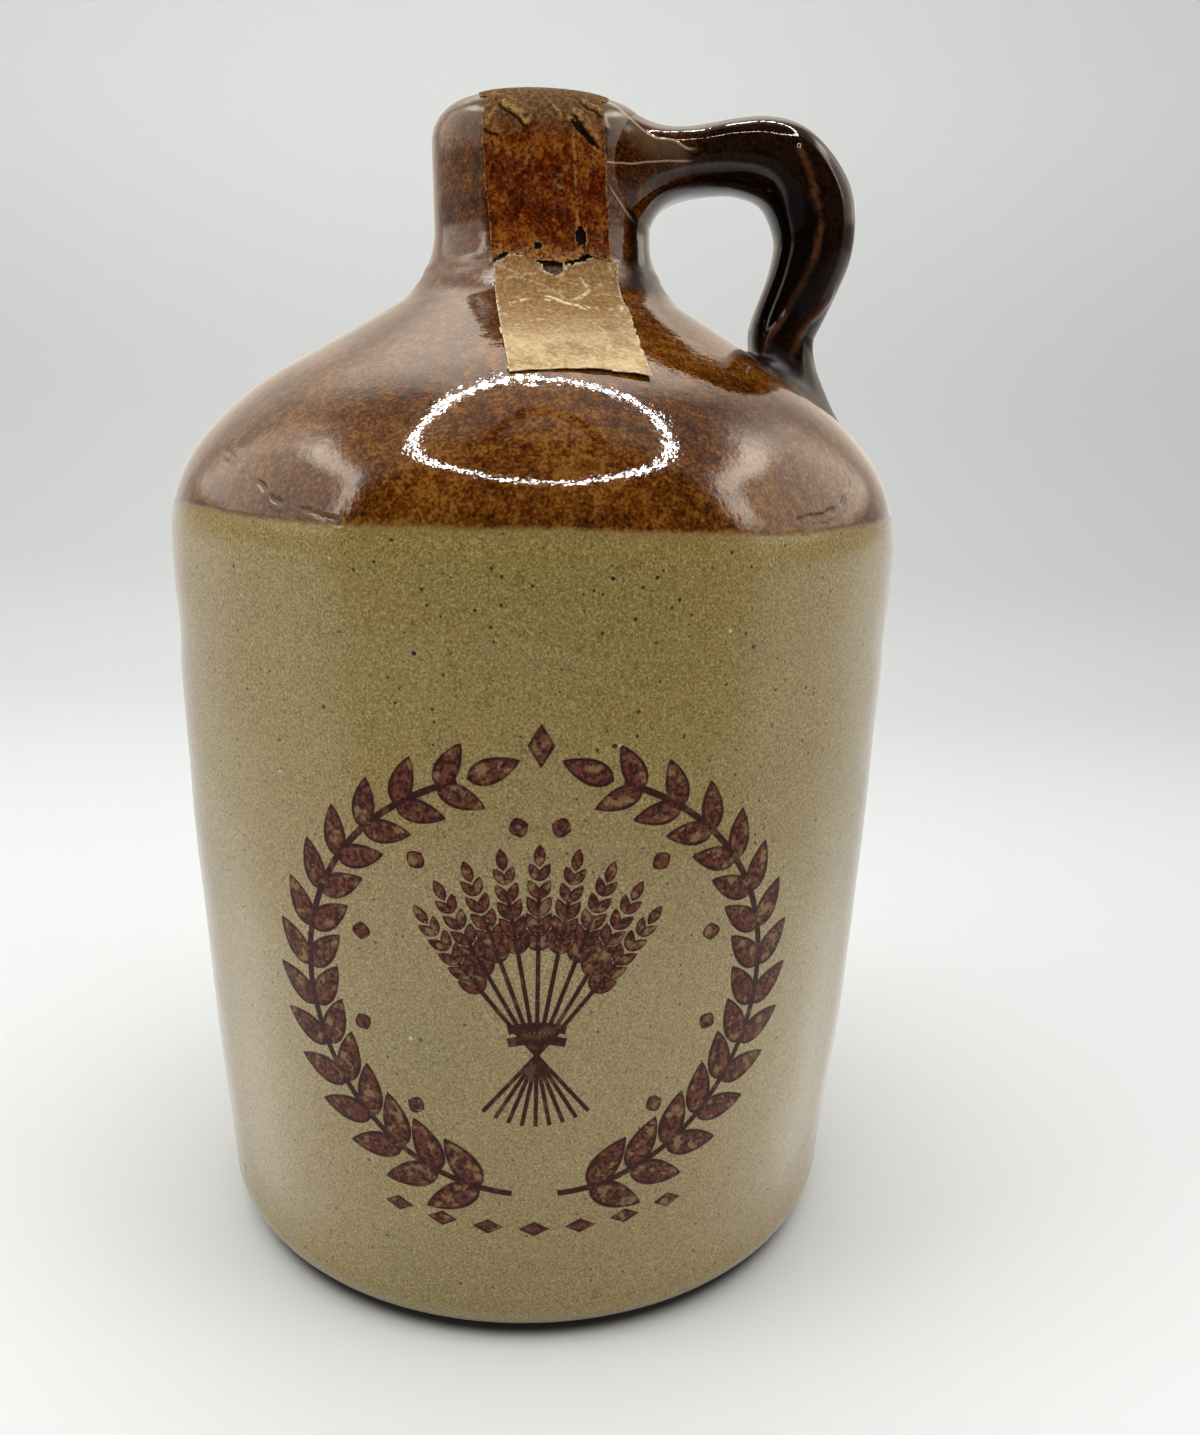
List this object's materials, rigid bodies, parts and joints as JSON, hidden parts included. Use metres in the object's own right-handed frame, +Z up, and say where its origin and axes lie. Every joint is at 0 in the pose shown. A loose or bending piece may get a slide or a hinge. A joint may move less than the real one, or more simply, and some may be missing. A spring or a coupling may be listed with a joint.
{
  "type": "stoneware whiskey jug",
  "caption": "Cylindrical stoneware jug with domed shoulder, short neck, ear handle, cork stopper and a torn paper seal strip over the mouth.",
  "frame": {"origin": "centre of the jug's flat base, on the surface it stands on", "axes": "+Z up along the jug's axis, -Y towards the decorated front, +X towards the handle"},
  "size_m": [0.1048, 0.1048, 0.163],
  "materials": {
    "stoneware": "clear gloss glaze over speckled oatmeal stoneware, the shoulder and neck dipped in mottled brown glaze",
    "brown_glaze": "glossy mottled dark brown glaze",
    "cork": "matte natural cork",
    "stained_paper": "old brown stained paper, creased",
    "pale_paper": "old tan paper, creased and scuffed"
  },
  "bodies": {
    "jug": {"jug_body": "stoneware", "handle": "brown_glaze", "seal_neck_front": "stained_paper", "seal_shoulder_front": "pale_paper", "seal_back": "pale_paper"},
    "stopper": {"cork_stopper": "cork", "seal_crown": "stained_paper"}
  },
  "joints": [
    {"name": "stopper_lift", "type": "slide", "parent": "jug", "child": "stopper", "axis": [0, 0, 1], "range_m": [0, 0.05]}
  ]
}
